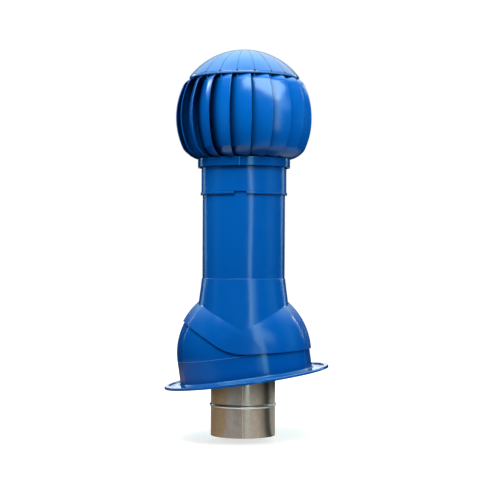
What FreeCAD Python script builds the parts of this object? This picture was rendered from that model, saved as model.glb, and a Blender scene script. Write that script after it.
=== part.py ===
"""Rotating chimney cowl: a wind-driven vane head on an insulated roof outlet with a tilting saddle."""
import FreeCAD, Part
import math
import os
import Sketcher

Vector = FreeCAD.Vector

# Driving dimensions, in millimetres and degrees
SIZES = [
    # Roof base and the half-drum that the saddle turns on
    ("base_tilt", 8.0, "slope of the flange at rest"),
    ("axis_height", 48.0, "pitch axis above the flange's underside"),
    ("base_wall", 3.0, "wall of the half-drum and lower walls"),
    ("flange_radius", 160.4, "outer radius of the flange"),
    ("flange_plate", 3.0, "flange plate thickness"),
    ("flange_rim_width", 9.0, "width of the raised rim"),
    ("flange_rim_height", 5.2, "height of the raised rim"),
    ("flange_rim_round", 1.6, "round of the raised rim"),
    ("foot_round", 4.0, "round between the walls and the flange"),
    ("screw_inset", 17.4, "fixing holes from the flange's edge"),
    ("screw_hole_radius", 3.5, "fixing hole radius"),
    ("slot_clearance", 3.5, "pipe slot beside the pipe"),
    ("slot_left", 53.0, "pipe slot's end towards -X, from the drum's normal"),
    ("slot_right", 39.5, "pipe slot's end towards +X, from the drum's normal"),
    # Saddle
    ("saddle_rim_radius", 132.8, "largest radius about the pitch axis"),
    ("saddle_crease_radius", 119.8, "radius of the crease beside the rim band"),
    ("saddle_margin", 17.0, "front face beyond the tube"),
    ("cap_arc", 390.0, "radius of the front face"),
    ("cap_reach", 35.0, "where the front face meets the shoulder"),
    ("shoulder_arc", 110.0, "radius of the shoulder"),
    ("crease_round", 2.5, "round of the creases"),
    ("rim_round", 14.0, "round of the rim"),
    ("tower_round", 2.0, "round between the tube's foot and the saddle"),
    ("saddle_wall", 2.5, "wall of the saddle"),
    ("saddle_clearance", 0.8, "running gap between saddle and drum"),
    ("skirt_left_reach", 107.0, "left skirt edge, a point on it across"),
    ("skirt_left_rise", 55.0, "left skirt edge, the same point above the axis"),
    ("skirt_left_slope", 33.5, "slope of the left skirt edge"),
    ("skirt_right_rise", 2.8, "right skirt edge above the axis at the centre"),
    ("skirt_right_slope", 3.1, "slope of the right skirt edge"),
    ("skirt_round", 100.0, "round between the two skirt edges"),
    # Outer tube, above the pitch axis
    ("tube_radius", 80.0, "outer radius of the tube"),
    ("tube_wall", 2.5, "wall of the tube"),
    ("flare_angle", 7.4, "half angle of the flared foot"),
    ("flare_foot", 45.0, "level where the flare ends inside the saddle"),
    ("flare_top", 144.6, "level where the flare starts"),
    ("flare_step", 0.9, "step out from the tube where the flare starts"),
    ("ledge_level", 305.6, "underside of the collar ledge"),
    ("ledge_thickness", 4.5, "thickness of the ledge"),
    ("ledge_reach", 4.0, "ledge beyond the tube"),
    ("ledge_gap", 15.6, "angle of each gap in the ledge"),
    ("ledge_gap_turn", 94.8, "clockwise turn of the first gap from +X"),
    ("spigot_length", 30.0, "tube above the ledge, inside the collar"),
    # Inner pipe and foam sleeve
    ("pipe_radius", 62.5, "outer radius of the steel pipe"),
    ("pipe_wall", 0.8, "wall of the steel pipe"),
    ("pipe_drop", 110.0, "pipe below the origin"),
    ("pipe_recess", 6.0, "pipe and sleeve below the tube's mouth"),
    ("bead_drop", 50.5, "bead's centre below the origin"),
    ("bead_half", 3.0, "half height of the bead"),
    ("bead_proud", 2.2, "bead beyond the pipe"),
    ("sleeve_fit", 0.2, "gap on both sides of the foam sleeve"),
    ("sleeve_lift", 4.0, "sleeve's foot above the saddle's rim"),
    # Turbine collar
    ("collar_fit", 0.3, "gap between the tube and the collar"),
    ("collar_wall", 2.2, "wall of the collar"),
    ("collar_height", 58.0, "height of the collar"),
    ("spoke_width", 6.0, "width of a spoke"),
    ("spoke_height", 16.0, "height of a spoke"),
    ("spoke_turn", 45.0, "turn of the spokes from +X"),
    ("spoke_drop", 4.0, "spoke below the collar's top"),
    ("boss_radius", 14.0, "radius of the centre boss"),
    ("boss_height", 26.0, "height of the centre boss"),
    # Axle and bearings
    ("axle_radius", 5.0, "radius of the axle's ends"),
    ("axle_shoulder_radius", 7.0, "radius of the axle's thick middle"),
    ("axle_fit", 0.05, "radial fit on the axle and in the hub"),
    ("washer_radius", 10.0, "washer radius"),
    ("washer_thickness", 2.0, "washer thickness"),
    ("nut_across_flats", 17.0, "nut across flats"),
    ("nut_height", 8.0, "nut height"),
    ("thread_stub", 3.0, "axle below the nut"),
    ("bearing_radius", 13.0, "outer radius of a bearing"),
    ("bearing_width", 8.0, "width of a bearing"),
    ("race_wall", 2.3, "radial thickness of a race"),
    ("ball_radius", 2.3, "radius of a ball"),
    ("ball_count", 7.0, "balls in a bearing"),
    ("ball_play", 0.08, "gap between a ball and its groove"),
    ("bearing_spacing", 36.0, "length of the spacer between the bearings"),
    ("spacer_wall", 1.8, "wall of the spacers"),
    ("ring_thickness", 1.2, "retaining ring thickness"),
    ("ring_reach", 2.2, "retaining ring beyond the axle"),
    ("ring_depth", 0.8, "retaining ring's groove depth"),
    ("ring_opening", 60.0, "angle of the retaining ring's opening"),
    ("axle_tip", 2.5, "axle above the retaining ring"),
    # Rotor
    ("ring_lift", 4.5, "rotor ring's plate above the collar"),
    ("ring_plate", 3.0, "rotor ring's plate thickness"),
    ("ring_width", 19.5, "rotor ring's outer edge to its opening"),
    ("ring_skirt_gap", 4.5, "gap between the collar and the ring's skirt"),
    ("ring_skirt_wall", 2.5, "rotor ring's skirt wall"),
    ("ring_skirt_height", 17.0, "rotor ring's skirt height"),
    ("ring_round", 1.2, "round of the rotor ring's upper edge"),
    ("vane_count", 20.0, "number of vanes"),
    ("vane_phase", 6.0, "first vane's outer edge from +X"),
    ("vane_sweep", 27.0, "angle from outer to inner edge"),
    ("vane_narrowing", 0.2, "share of the radius lost at the inner edge"),
    ("vane_wall", 2.0, "vane thickness"),
    ("vane_seat", 0.3, "vane's gap at the ring and the cap"),
    ("head_height", 153.7, "rotor ring's top to the vanes' top"),
    ("head_overhang", 25.8, "vanes' largest radius beyond the cap's rim"),
    ("head_arc", 143.0, "radius of the vanes' main arc"),
    ("lower_turn_arc", 50.0, "radius of the lower turn"),
    ("lower_turn_height", 18.0, "height of the lower turn above the ring"),
    ("vane_foot_overhang", 2.5, "vane's foot beyond the rotor ring"),
    ("upper_turn_arc", 24.0, "radius of the upper turn"),
    ("upper_turn_height", 11.7, "height of the upper turn"),
    ("vane_tip", 2.0, "level width of the vane's foot and head, in walls"),
    ("vane_head_inset", 2.5, "vane's head inside the cap's rim"),
    ("peg_radius", 1.8, "vane peg radius"),
    ("peg_root", 7.5, "top peg's foot below the vane's top"),
    ("foot_peg_root", 0.6, "foot peg's start inside the vane"),
    ("peg_fit", 0.2, "gap round a peg"),
    ("peg_lag", 13.5, "pegs behind the vane's outer edge"),
    ("peg_inset", 5.5, "top pegs inside the cap's rim"),
    ("peg_recess", 0.3, "top peg below the vane seat's top"),
    ("foot_peg_length", 2.5, "length of a foot peg"),
    # Dome cap
    ("dome_arc", 133.2, "outer radius of the dome's crown"),
    ("dome_shoulder_arc", 4.0, "outer radius of the dome's shoulder"),
    ("dome_wall", 2.5, "wall of the dome"),
    ("dome_radius", 106.5, "outer radius of the rim"),
    ("dome_rim", 0.5, "upright rim above the vane seat"),
    ("dome_rim_round", 1.5, "round of the rim's lower edge"),
    ("seat_plate", 2.5, "thickness of the vane seat under the rim"),
    ("seat_inner_radius", 72.0, "opening of the vane seat"),
    ("seam_depth", 0.6, "depth of the radial seams"),
    ("seam_angle", 0.7, "angle across a seam"),
    ("seam_start", 16.0, "seams' inner end from the axis"),
    ("dot_radius", 1.8, "radius of the dot at a seam's end"),
    ("dot_lift", 2.0, "dot above the rim"),
    ("hub_wall", 4.0, "wall of the hub"),
    ("hub_roof", 4.0, "hub's roof over the axle"),
    ("hub_lip", 3.0, "hub below the lower bearing"),
    ("axle_headroom", 1.0, "gap over the axle's tip"),
]

doc = FreeCAD.newDocument("rotating_cowl")
sheet = doc.addObject("Spreadsheet::Sheet", "Dims")
for row, (name, value, meaning) in enumerate(SIZES, start=1):
    sheet.set(f"A{row}", meaning)
    sheet.set(f"B{row}", str(value))
    sheet.setAlias(f"B{row}", name)
doc.recompute()

SUB_PARTS = []

# Closeness of edges to the places they are looked for at, in millimetres
NEAR = 0.01

# Angles of turns, in degrees
FULL_TURN = "360"
HALF_TURN = "180"
QUARTER_TURN = "90"

# Number of ledge halves, and of crossed spokes
PAIR = "2"


def dim(name):
    """The expression that reads one driving dimension."""
    return f"Dims.{name}"


def number(expression):
    """The value of an expression now."""
    return float(sheet.evalExpression(str(expression)))


def total(*terms):
    """The expression of a sum of terms."""
    return "(" + " + ".join(terms) + ")"


def less(first, *terms):
    """The expression of a first term less the others."""
    return "(" + " - ".join((first,) + terms) + ")"


# Levels above the pitch axis, and radii, that several pieces share
PITCH_LEVEL = f"({dim('axis_height')} / cos({dim('base_tilt')}))"
COLLAR_FOOT = total(dim("ledge_level"), dim("ledge_thickness"))
TUBE_TOP = total(COLLAR_FOOT, dim("spigot_length"))
TUBE_BORE = less(dim("tube_radius"), dim("tube_wall"))
SADDLE_DEPTH = total(dim("tube_radius"), dim("saddle_margin"))
FLARE_HEAD = total(dim("tube_radius"), dim("flare_step"))
FLARE_BORE = total(TUBE_BORE, dim("flare_step"))
PIPE_TOP = less(TUBE_TOP, dim("pipe_recess"))
PIPE_FOOT = f"(-{dim('pipe_drop')} - {PITCH_LEVEL})"
BEAD_LEVEL = f"(-{dim('bead_drop')} - {PITCH_LEVEL})"
COLLAR_BORE = total(dim("tube_radius"), dim("collar_fit"))
COLLAR_RADIUS = total(COLLAR_BORE, dim("collar_wall"))
COLLAR_TOP = total(COLLAR_FOOT, dim("collar_height"))
SPOKE_TOP = less(COLLAR_TOP, dim("spoke_drop"))
BOSS_TOP = SPOKE_TOP
BOSS_FOOT = less(BOSS_TOP, dim("boss_height"))
WASHER_FOOT = less(BOSS_FOOT, dim("washer_thickness"))
NUT_FOOT = less(WASHER_FOOT, dim("nut_height"))
AXLE_FOOT = less(NUT_FOOT, dim("thread_stub"))
RING_RADIUS = total(COLLAR_RADIUS, dim("ring_skirt_gap"), dim("ring_skirt_wall"))
RING_FOOT = total(COLLAR_TOP, dim("ring_lift"))
RING_TOP = total(RING_FOOT, dim("ring_plate"))
VANE_FOOT = total(RING_TOP, dim("vane_seat"))
VANE_TOP = total(RING_TOP, dim("head_height"))
VANE_FOOT_RADIUS = total(RING_RADIUS, dim("vane_foot_overhang"))
VANE_HEAD_RADIUS = less(dim("dome_radius"), dim("vane_head_inset"))
HEAD_RADIUS = total(dim("dome_radius"), dim("head_overhang"))
VANE_TIP = f"({dim('vane_tip')} * {dim('vane_wall')})"
PEG_SHARE = f"({dim('peg_lag')} / {dim('vane_sweep')})"
PEG_CIRCLE = less(dim("dome_radius"), dim("peg_inset"))
FOOT_PEG_CIRCLE = f"({VANE_FOOT_RADIUS} * (1 - {dim('vane_narrowing')} * {PEG_SHARE}) - {VANE_TIP} / 2)"
SEAT_FOOT = total(VANE_TOP, dim("vane_seat"))
SEAT_TOP = total(SEAT_FOOT, dim("seat_plate"))
RIM_TOP = total(SEAT_TOP, dim("dome_rim"))
SHOULDER_REACH = less(dim("dome_radius"), dim("dome_shoulder_arc"))
CROWN_SPAN = less(dim("dome_arc"), dim("dome_shoulder_arc"))
CROWN_RISE = f"sqrt({CROWN_SPAN}^2 - {SHOULDER_REACH}^2)"
DOME_CENTRE = less(RIM_TOP, CROWN_RISE)
DOME_APEX = total(DOME_CENTRE, dim("dome_arc"))
HUB_TOP = less(DOME_APEX, dim("dome_wall"), dim("hub_roof"))
AXLE_TOP = less(HUB_TOP, dim("axle_headroom"))
RETAINER_TOP = less(AXLE_TOP, dim("axle_tip"))
UPPER_BEARING_TOP = less(RETAINER_TOP, dim("ring_thickness"))
UPPER_BEARING_FOOT = less(UPPER_BEARING_TOP, dim("bearing_width"))
LOWER_BEARING_TOP = less(UPPER_BEARING_FOOT, dim("bearing_spacing"))
LOWER_BEARING_FOOT = less(LOWER_BEARING_TOP, dim("bearing_width"))
HUB_BORE = total(dim("bearing_radius"), dim("axle_fit"))
HUB_RADIUS = total(HUB_BORE, dim("hub_wall"))
HUB_FOOT = less(LOWER_BEARING_FOOT, dim("hub_lip"))
RACE_BORE = total(dim("axle_radius"), dim("axle_fit"))
INNER_RACE_RADIUS = total(RACE_BORE, dim("race_wall"))
OUTER_RACE_BORE = less(dim("bearing_radius"), dim("race_wall"))
BALL_CIRCLE = f"(({RACE_BORE} + {dim('bearing_radius')}) / 2)"


def new_body(label):
    """A body that stands on the pitch axis, counted as a sub-part."""
    body = doc.addObject("PartDesign::Body", label)
    body.Label = label
    body.setExpression("Placement.Base.z", PITCH_LEVEL)
    SUB_PARTS.append(body)
    return body


def origin_feature(body, role):
    """One of the body's own origin planes or axes."""
    return next(item for item in body.Origin.OriginFeatures if item.Role == role)


def new_sketch(body, plane="XZ_Plane", lift=None, turn=None, turn_axis=None):
    """A sketch on an origin plane, lifted off it or turned about one of its own axes."""
    sketch = body.newObject("Sketcher::SketchObject", "Sketch")
    sketch.AttachmentSupport = [(origin_feature(body, plane), "")]
    sketch.MapMode = "FlatFace"
    if turn is not None:
        sketch.AttachmentOffset = FreeCAD.Placement(Vector(), FreeCAD.Rotation(turn_axis, number(turn)))
        sketch.setExpression("AttachmentOffset.Rotation.Angle", turn)
    if lift is not None:
        sketch.setExpression("AttachmentOffset.Base.z", lift)
    return sketch


def bind(sketch, kind, references, expression):
    """A sketch constraint whose value follows an expression."""
    index = sketch.addConstraint(Sketcher.Constraint(kind, *references, number(expression)))
    sketch.setExpression(f"Constraints[{index}]", expression)


def pin_point(sketch, edge, end, corner):
    """Fixes one end of an edge at a corner, given as two expressions."""
    for kind, axis, expression in (("DistanceX", -2, corner[0]), ("DistanceY", -1, corner[1])):
        if expression == "0":
            sketch.addConstraint(Sketcher.Constraint("PointOnObject", edge, end, axis))
        else:
            bind(sketch, kind, (-1, 1, edge, end), expression)


def arc_between(first, last, radius, side):
    """The smaller arc from first to last, whose centre lies left (1) or right (-1) of the chord."""
    chord = last - first
    normal = Vector(-chord.y, chord.x, 0).normalize()
    rise = math.sqrt(radius ** 2 - (chord.Length / 2) ** 2)
    centre = (first + last) / 2 + normal * (side * rise)
    start, end = (first, last) if side > 0 else (last, first)
    turns = [math.atan2(point.y - centre.y, point.x - centre.x) for point in (start, end)]
    return Part.ArcOfCircle(Part.Circle(centre, Vector(0, 0, 1), radius), *turns)


def outline(sketch, corners, arcs=None):
    """A closed outline through corners, with lines or, where arcs names an edge, (radius, side) arcs."""
    arcs = arcs or {}
    count = len(corners)
    points = [Vector(number(x), number(y), 0) for x, y in corners]
    edges = []
    for index in range(count):
        first = points[index]
        last = points[(index + 1) % count]
        if index not in arcs:
            edges.append((sketch.addGeometry(Part.LineSegment(first, last), False), 1, 2))
            continue
        radius, side = arcs[index]
        edge = sketch.addGeometry(arc_between(first, last, number(radius), side), False)
        edges.append((edge, 1, 2) if side > 0 else (edge, 2, 1))
    for index, (edge, start, end) in enumerate(edges):
        following = edges[(index + 1) % count]
        sketch.addConstraint(Sketcher.Constraint("Coincident", edge, end, following[0], following[1]))
        pin_point(sketch, edge, start, corners[index])
        if index in arcs:
            bind(sketch, "Radius", (edge,), arcs[index][0])


def polar(radius, angle):
    """The two expressions of a point at a radius and an angle."""
    return f"({radius} * cos({angle}))", f"({radius} * sin({angle}))"


def rectangle(sketch, left, right, low, high):
    """A closed rectangle."""
    outline(sketch, [(left, low), (right, low), (right, high), (left, high)])


def circle(sketch, radius, across="0", along="0"):
    """A circle at a place given by two expressions."""
    centre = Vector(number(across), number(along), 0)
    edge = sketch.addGeometry(Part.Circle(centre, Vector(0, 0, 1), number(radius)), False)
    bind(sketch, "Radius", (edge,), radius)
    pin_point(sketch, edge, 3, (across, along))


def half_ball(sketch, radius, across, up, towards):
    """The half circle of a ball, with the sketch's own axis moved to the ball's centre."""
    for name, expression in (("x", across), ("y", up), ("z", towards)):
        sketch.setExpression(f"AttachmentOffset.Base.{name}", expression)
    top = ("0", radius)
    quarter = (radius, 1)
    outline(sketch, [flipped(top, along=True), (radius, "0"), top], {0: quarter, 1: quarter})


def turned(body, sketch, kind="PartDesign::Revolution", angle=FULL_TURN, reverse=False):
    """The sketch revolved about its own vertical axis, added or, as a Groove, cut away."""
    feature = body.newObject(kind, "Turned")
    feature.Profile = sketch
    feature.ReferenceAxis = (sketch, ["V_Axis"])
    feature.setExpression("Angle", angle)
    feature.Reversed = reverse
    return feature


def raised(body, sketch, length, kind="PartDesign::Pad", reverse=False, midplane=False):
    """The sketch pushed out by a length, added or, as a Pocket, cut away."""
    feature = body.newObject(kind, "Raised")
    feature.Profile = sketch
    feature.setExpression("Length", length)
    feature.Reversed = reverse
    if midplane:
        feature.SideType = "Symmetric"
    return feature


def spread(body, features, count, angle=FULL_TURN):
    """Copies of features spread evenly about the upright axis."""
    pattern = body.newObject("PartDesign::PolarPattern", "Spread")
    pattern.Originals = features
    pattern.Axis = (origin_feature(body, "Z_Axis"), [""])
    pattern.setExpression("Angle", angle)
    pattern.setExpression("Occurrences", count)
    body.Tip = pattern
    doc.recompute()
    return pattern


def rounded(body, radius, wanted):
    """Rounds the edges of the body's tip that the test wants."""
    doc.recompute()
    tip = body.Tip
    names = [f"Edge{index}" for index, edge in enumerate(tip.Shape.Edges, start=1) if wanted(edge)]
    feature = body.newObject("PartDesign::Fillet", "Rounded")
    feature.Base = (tip, names)
    feature.setExpression("Radius", radius)
    doc.recompute()
    return feature


def is_ring(edge, radius, level):
    """Whether an edge is a level circle of this radius about the upright axis, at this level."""
    if edge.Degenerated or not isinstance(edge.Curve, Part.Circle):
        return False
    same_radius = abs(edge.Curve.Radius - number(radius)) < NEAR
    centre = edge.Curve.Center
    return same_radius and abs(centre.z - number(level)) < NEAR and abs(edge.Curve.Axis.z) > 1 - NEAR


def is_drum_edge(edge, corner):
    """Whether an edge runs round the drum, or down its walls, through one corner of its profile."""
    out, depth = (number(value) for value in corner)
    if edge.Degenerated:
        return False
    if isinstance(edge.Curve, Part.Circle):
        about_pitch = abs(edge.Curve.Axis.y) > 1 - NEAR and abs(edge.Curve.Radius - out) < NEAR
        return about_pitch and abs(abs(edge.Curve.Center.y) - depth) < NEAR
    ends = [vertex.Point for vertex in edge.Vertexes]
    return all(abs(abs(end.x) - out) < NEAR and abs(abs(end.y) - depth) < NEAR for end in ends)


def ring(label, inner, outer, low, high):
    """A plain ring about the upright axis."""
    body = new_body(label)
    sketch = new_sketch(body)
    rectangle(sketch, inner, outer, low, high)
    turned(body, sketch)
    return body


def drum_points(inset):
    """The drum's quarter profile from its front centre to its rim, drawn in by an inset."""
    sine = f"({dim('cap_reach')} / {dim('cap_arc')})"
    cosine = f"sqrt(1 - {sine}^2)"
    spread_arc = less(dim("cap_arc"), dim("shoulder_arc"))
    centre_out = f"({spread_arc} * {sine})"
    centre_depth = f"({SADDLE_DEPTH} - {dim('cap_arc')} + {spread_arc} * {cosine})"
    # The crease on the outer surface, and the outward normals of the two faces that meet there
    lean = f"(({dim('saddle_crease_radius')} - {centre_out}) / {dim('shoulder_arc')})"
    upright = f"sqrt(1 - {lean}^2)"
    crease_depth = f"({centre_depth} + {dim('shoulder_arc')} * {upright})"
    band_rise = less(dim("saddle_rim_radius"), dim("saddle_crease_radius"))
    band_length = f"sqrt({crease_depth}^2 + {band_rise}^2)"
    band_out = f"({crease_depth} / {band_length})"
    band_up = f"({band_rise} / {band_length})"
    joint = f"({inset} / (1 + {lean} * {band_out} + {upright} * {band_up}))"
    return {
        "front": ("0", less(SADDLE_DEPTH, inset)),
        "shoulder": (
            f"(({dim('cap_arc')} - {inset}) * {sine})",
            f"({SADDLE_DEPTH} - {dim('cap_arc')} + ({dim('cap_arc')} - {inset}) * {cosine})",
        ),
        "crease": (
            f"({dim('saddle_crease_radius')} - {joint} * ({lean} + {band_out}))",
            f"({crease_depth} - {joint} * ({upright} + {band_up}))",
        ),
        "rim": (f"({dim('saddle_rim_radius')} - {inset} / {band_out})", "0"),
    }


def flipped(corner, across=False, along=False):
    """A corner mirrored across one or both axes."""
    x, y = corner
    if across and x != "0":
        x = f"(-{x})"
    if along and y != "0":
        y = f"(-{y})"
    return x, y


def drum_outline(sketch, inset, whole=False):
    """The drum's profile on one side of its axis, or its whole plan."""
    points = drum_points(inset)
    cap = (less(dim("cap_arc"), inset), -1)
    shoulder = (less(dim("shoulder_arc"), inset), -1)
    right = [points["front"], points["shoulder"], points["crease"], points["rim"]]
    right += [flipped(points[name], along=True) for name in ("crease", "shoulder", "front")]
    arcs = {0: cap, 1: shoulder, 4: shoulder, 5: cap}
    if whole:
        left = [flipped(points[name], across=True, along=True) for name in ("shoulder", "crease")]
        left += [flipped(points[name], across=True) for name in ("rim", "crease", "shoulder")]
        arcs.update({6: cap, 7: shoulder, 10: shoulder, 11: cap})
        right += left
    outline(sketch, right, arcs)


def half_drum(body, inset, kind):
    """The upper half of the drum about the pitch axis, filled or cut out."""
    sketch = new_sketch(body, "XY_Plane")
    drum_outline(sketch, inset)
    return turned(body, sketch, kind, angle=HALF_TURN, reverse=True)


def is_foot_edge(edge, level):
    """Whether an edge lies at this level, on the walls and not on the flange's outline."""
    if edge.Degenerated or is_ring(edge, dim("flange_radius"), level):
        return False
    return all(abs(vertex.Point.z - number(level)) < NEAR for vertex in edge.Vertexes)


def is_tower_edge(edge):
    """Whether an edge lies on the tube's flared foot and is neither straight nor round."""
    if edge.Degenerated or isinstance(edge.Curve, (Part.Circle, Part.Line)):
        return False
    slope = math.tan(math.radians(number(dim("flare_angle"))))
    for vertex in edge.Vertexes:
        point = vertex.Point
        flared = number(FLARE_HEAD) + slope * (number(dim("flare_top")) - point.z)
        if abs(math.hypot(point.x, point.y) - flared) > NEAR:
            return False
    return True


def round_drum(body, inset):
    """Rounds the drum's creases and its rim."""
    points = drum_points(inset)
    rounded(body, dim("crease_round"), lambda edge: is_drum_edge(edge, points["crease"]))
    rounded(body, dim("rim_round"), lambda edge: is_drum_edge(edge, points["rim"]))


def build_roof_base():
    """Flange, straight walls and half-drum with the pipe's slot."""
    body = new_body("roof_base")
    body.Placement = FreeCAD.Placement(Vector(), FreeCAD.Rotation(Vector(0, -1, 0), number(dim("base_tilt"))))
    body.setExpression("Placement.Rotation.Angle", dim("base_tilt"))
    outer_inset = total(dim("saddle_wall"), dim("saddle_clearance"))
    inner_inset = total(outer_inset, dim("base_wall"))
    underside = f"(-{dim('axis_height')})"
    half_drum(body, outer_inset, "PartDesign::Revolution")
    walls = new_sketch(body, "XY_Plane")
    drum_outline(walls, outer_inset, whole=True)
    raised(body, walls, dim("axis_height"), reverse=True)
    round_drum(body, outer_inset)
    plate = new_sketch(body, "XY_Plane", lift=underside)
    circle(plate, dim("flange_radius"))
    raised(body, plate, dim("flange_plate"))
    plate_top = total(underside, dim("flange_plate"))
    rounded(body, dim("foot_round"), lambda edge: is_foot_edge(edge, plate_top))
    rim = new_sketch(body, "XY_Plane", lift=underside)
    circle(rim, dim("flange_radius"))
    circle(rim, less(dim("flange_radius"), dim("flange_rim_width")))
    raised(body, rim, dim("flange_rim_height"))
    rim_top = total(underside, dim("flange_rim_height"))
    rim_bore = less(dim("flange_radius"), dim("flange_rim_width"))
    rounded(body, dim("flange_rim_round"), lambda edge: is_ring(edge, dim("flange_radius"), rim_top)
            or is_ring(edge, rim_bore, rim_top))
    half_drum(body, inner_inset, "PartDesign::Groove")
    hollow = new_sketch(body, "XY_Plane")
    drum_outline(hollow, inner_inset, whole=True)
    raised(body, hollow, dim("axis_height"), "PartDesign::Pocket")
    # The slot in the drum's crown that the pipe swings in
    slot = new_sketch(body, "XY_Plane", turn=less(dim("slot_right"), QUARTER_TURN), turn_axis=Vector(0, 1, 0))
    slot_half = total(dim("pipe_radius"), dim("slot_clearance"))
    rectangle(slot, dim("tube_radius"), dim("saddle_rim_radius"), f"(-{slot_half})", slot_half)
    turned(body, slot, "PartDesign::Groove", total(dim("slot_left"), dim("slot_right")), reverse=True)
    holes = new_sketch(body, "XY_Plane", lift=underside)
    hole_reach = less(dim("flange_radius"), dim("screw_inset"))
    circle(holes, dim("screw_hole_radius"), across=hole_reach)
    circle(holes, dim("screw_hole_radius"), across=f"(-{hole_reach})")
    raised(body, holes, dim("flange_rim_height"), "PartDesign::Pocket", reverse=True)
    return body


def build_outlet_housing():
    """Tube, flared foot and saddle as one moulded shell."""
    body = new_body("outlet_housing")
    half_drum(body, "0", "PartDesign::Revolution")
    round_drum(body, "0")
    flare = f"(({dim('flare_top')} - {dim('flare_foot')}) * tan({dim('flare_angle')}))"
    tower = new_sketch(body)
    outline(tower, [
        ("0", dim("flare_foot")),
        (total(FLARE_HEAD, flare), dim("flare_foot")),
        (FLARE_HEAD, dim("flare_top")),
        (dim("tube_radius"), dim("flare_top")),
        (dim("tube_radius"), TUBE_TOP),
        ("0", TUBE_TOP),
    ])
    turned(body, tower)
    rounded(body, dim("tower_round"), is_tower_edge)
    half_drum(body, dim("saddle_wall"), "PartDesign::Groove")
    bore = new_sketch(body)
    outline(bore, [
        ("0", dim("flare_foot")),
        (total(FLARE_BORE, flare), dim("flare_foot")),
        (FLARE_BORE, dim("flare_top")),
        (TUBE_BORE, dim("flare_top")),
        (TUBE_BORE, TUBE_TOP),
        ("0", TUBE_TOP),
    ])
    turned(body, bore, "PartDesign::Groove")
    # The skirt's lower edge: two slopes joined by a large round, everything below cut away
    left = f"tan({dim('skirt_left_slope')})"
    right = f"tan({dim('skirt_right_slope')})"
    reach = f"(2 * {dim('saddle_rim_radius')})"
    left_rise = f"({dim('skirt_left_rise')} - {dim('skirt_left_reach')} * {left})"
    meeting = f"(({left_rise} - {dim('skirt_right_rise')}) / ({left} + {right}))"
    meeting_rise = f"({dim('skirt_right_rise')} + {meeting} * {right})"
    tangent = f"({dim('skirt_round')} * tan(({dim('skirt_left_slope')} + {dim('skirt_right_slope')}) / 2))"
    skirt = new_sketch(body)
    outline(skirt, [
        (f"(-{reach})", f"(-{reach})"),
        (reach, f"(-{reach})"),
        (reach, f"({dim('skirt_right_rise')} + {reach} * {right})"),
        (f"({meeting} + {tangent} * cos({dim('skirt_right_slope')}))",
         f"({meeting_rise} + {tangent} * sin({dim('skirt_right_slope')}))"),
        (f"({meeting} - {tangent} * cos({dim('skirt_left_slope')}))",
         f"({meeting_rise} + {tangent} * sin({dim('skirt_left_slope')}))"),
        (f"(-{reach})", f"({left_rise} + {reach} * {left})"),
    ], {3: (dim("skirt_round"), -1)})
    raised(body, skirt, f"(2 * {reach})", "PartDesign::Pocket", midplane=True)
    # The ledge that carries the collar, in two halves with a gap between them
    ledge_turn = less(f"({dim('ledge_gap')} / 2)", dim("ledge_gap_turn"))
    ledge = new_sketch(body, turn=ledge_turn, turn_axis=Vector(0, 1, 0))
    rectangle(ledge, less(dim("tube_radius"), f"({dim('tube_wall')} / 2)"),
              total(dim("tube_radius"), dim("ledge_reach")), dim("ledge_level"), COLLAR_FOOT)
    half = turned(body, ledge, angle=less(HALF_TURN, dim("ledge_gap")))
    spread(body, [half], PAIR)
    return body


def build_inner_pipe():
    """Thin steel pipe with a rolled bead."""
    body = new_body("inner_pipe")
    inner = less(dim("pipe_radius"), dim("pipe_wall"))
    low = less(BEAD_LEVEL, dim("bead_half"))
    high = total(BEAD_LEVEL, dim("bead_half"))
    bead = f"(({dim('bead_half')}^2 + {dim('bead_proud')}^2) / (2 * {dim('bead_proud')}))"
    sketch = new_sketch(body)
    outline(sketch, [
        (inner, PIPE_FOOT),
        (dim("pipe_radius"), PIPE_FOOT),
        (dim("pipe_radius"), low),
        (dim("pipe_radius"), high),
        (dim("pipe_radius"), PIPE_TOP),
        (inner, PIPE_TOP),
        (inner, high),
        (inner, low),
    ], {2: (bead, 1), 6: (bead, -1)})
    turned(body, sketch)
    return body


def build_insulation_sleeve():
    """Foam tube that holds the pipe in the outer tube."""
    low = total(dim("saddle_rim_radius"), dim("sleeve_lift"))
    return ring("insulation_sleeve", total(dim("pipe_radius"), dim("sleeve_fit")),
                less(TUBE_BORE, dim("sleeve_fit")), low, PIPE_TOP)


def build_turbine_collar():
    """Collar with crossed spokes and a centre boss."""
    body = new_body("turbine_collar")
    wall = new_sketch(body)
    rectangle(wall, COLLAR_BORE, COLLAR_RADIUS, COLLAR_FOOT, COLLAR_TOP)
    turned(body, wall)
    reach = total(COLLAR_BORE, f"({dim('collar_wall')} / 2)")
    half = f"({dim('spoke_width')} / 2)"
    bar = new_sketch(body, "XY_Plane", lift=SPOKE_TOP, turn=dim("spoke_turn"), turn_axis=Vector(0, 0, 1))
    rectangle(bar, f"(-{reach})", reach, f"(-{half})", half)
    spokes = raised(body, bar, dim("spoke_height"), reverse=True)
    spread(body, [spokes], PAIR, QUARTER_TURN)
    boss = new_sketch(body)
    rectangle(boss, "0", dim("boss_radius"), BOSS_FOOT, BOSS_TOP)
    turned(body, boss)
    bore = new_sketch(body)
    rectangle(bore, "0", RACE_BORE, BOSS_FOOT, BOSS_TOP)
    turned(body, bore, "PartDesign::Groove")
    return body


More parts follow.
